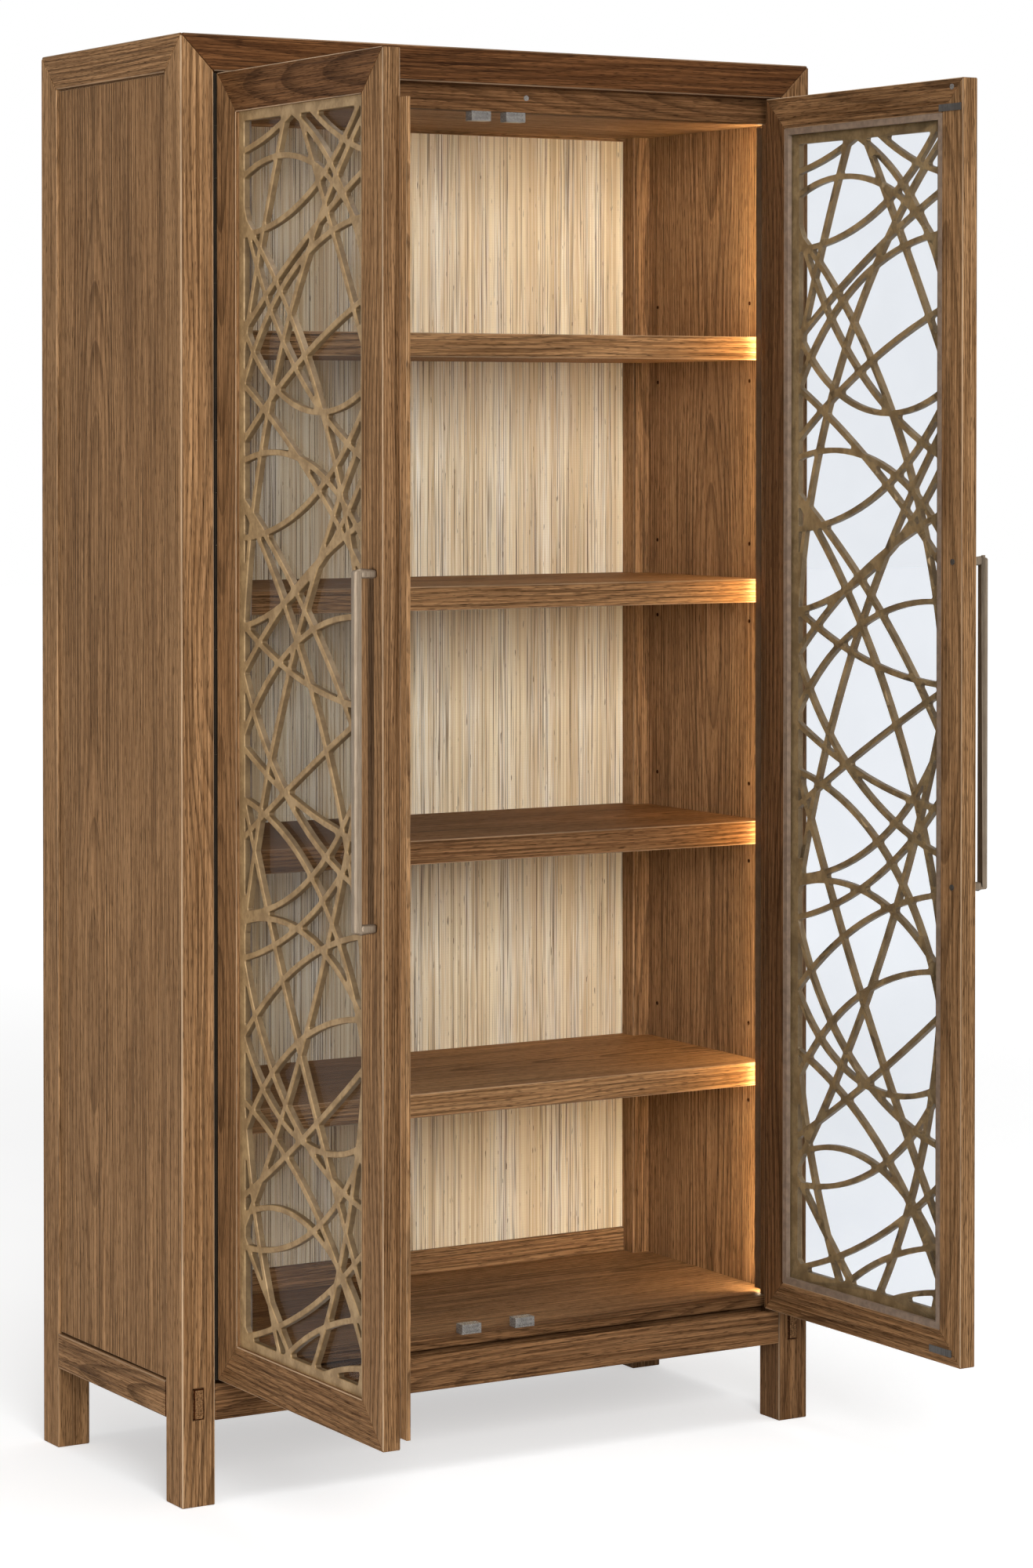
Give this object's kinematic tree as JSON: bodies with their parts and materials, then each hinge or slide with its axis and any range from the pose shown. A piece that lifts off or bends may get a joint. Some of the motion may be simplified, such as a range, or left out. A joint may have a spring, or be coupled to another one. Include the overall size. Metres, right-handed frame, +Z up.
{
  "type": "display cabinet",
  "caption": "Tall oak display cabinet on square legs, with glazed lattice doors, adjustable shelves, a grasscloth back and upright inside lights.",
  "frame": {"origin": "on the floor, at the middle of the carcass footprint", "axes": "+Z up, -Y towards the front, +X to the right seen from the front"},
  "size_m": [1.051, 0.943, 2.032],
  "materials": {
    "frame_oak": "stained oak, satin",
    "panel_oak": "stained oak veneer, satin",
    "shelf_oak": "stained oak, satin",
    "door_oak": "stained oak, satin",
    "back_ply": "plain plywood",
    "grasscloth": "woven grass fibres",
    "gold_lattice": "antique gold paint",
    "glass": "clear",
    "handle_bronze": "brushed champagne bronze",
    "hinge_bronze": "dark bronze patina",
    "steel": "zinc plated",
    "clear_plastic": "clear",
    "lamp_channel": "brown coating",
    "bead_plastic": "dark moulded",
    "lamp_diffuser": "frosted",
    "black_plastic": "moulded"
  },
  "bodies": {
    "carcass": {"back_board": "back_ply", "back_bottom_batten": "shelf_oak", "back_left_post": "frame_oak", "back_right_post": "frame_oak", "back_top_batten": "shelf_oak", "bottom_back_rail": "frame_oak", "bottom_front_rail": "frame_oak", "bottom_left_rail": "frame_oak", "bottom_right_rail": "frame_oak", "ceiling_board": "panel_oak", "cord_gland": "black_plastic", "deck_board": "shelf_oak", "deck_lipping": "shelf_oak", "door_stop_rail": "frame_oak", "front_left_post": "frame_oak", "front_right_post": "frame_oak", "grasscloth": "grasscloth", "hinge_frame_leaves": "hinge_bronze", "lamp_channels": "lamp_channel", "lamp_diffusers": "lamp_diffuser", "lamp_driver": "black_plastic", "left_side_panel": "panel_oak", "magnetic_catches": "clear_plastic", "right_side_panel": "panel_oak", "shelf_1": "shelf_oak", "shelf_2": "shelf_oak", "shelf_3": "shelf_oak", "shelf_4": "shelf_oak", "shelf_pins": "steel", "stop_bumper": "clear_plastic", "top_back_rail": "frame_oak", "top_front_rail": "frame_oak", "top_left_rail": "frame_oak", "top_panel": "panel_oak", "top_right_rail": "frame_oak"},
    "left_door": {"left_door_astragal": "door_oak", "left_door_bottom_rail": "door_oak", "left_door_bumper": "clear_plastic", "left_door_glass": "glass", "left_door_glass_beads": "bead_plastic", "left_door_handle": "handle_bronze", "left_door_handle_screws": "steel", "left_door_hinge_leaf": "hinge_bronze", "left_door_hinge_stile": "door_oak", "left_door_lattice": "gold_lattice", "left_door_meeting_stile": "door_oak", "left_door_strikes": "steel", "left_door_top_rail": "door_oak"},
    "right_door": {"right_door_bottom_rail": "door_oak", "right_door_bumper": "clear_plastic", "right_door_glass": "glass", "right_door_glass_beads": "bead_plastic", "right_door_handle": "handle_bronze", "right_door_handle_screws": "steel", "right_door_hinge_leaf": "hinge_bronze", "right_door_hinge_stile": "door_oak", "right_door_lattice": "gold_lattice", "right_door_meeting_stile": "door_oak", "right_door_strikes": "steel", "right_door_top_rail": "door_oak"}
  },
  "joints": [
    {"name": "left_door_hinge", "type": "hinge", "parent": "carcass", "child": "left_door", "pos_m": [-0.4737, -0.2285, 0], "axis": [0, 0, 1], "range_deg": [-15, 90.6]},
    {"name": "right_door_hinge", "type": "hinge", "parent": "carcass", "child": "right_door", "pos_m": [0.4737, -0.2285, 0], "axis": [0, 0, -1], "range_deg": [-15, 90.6]}
  ]
}
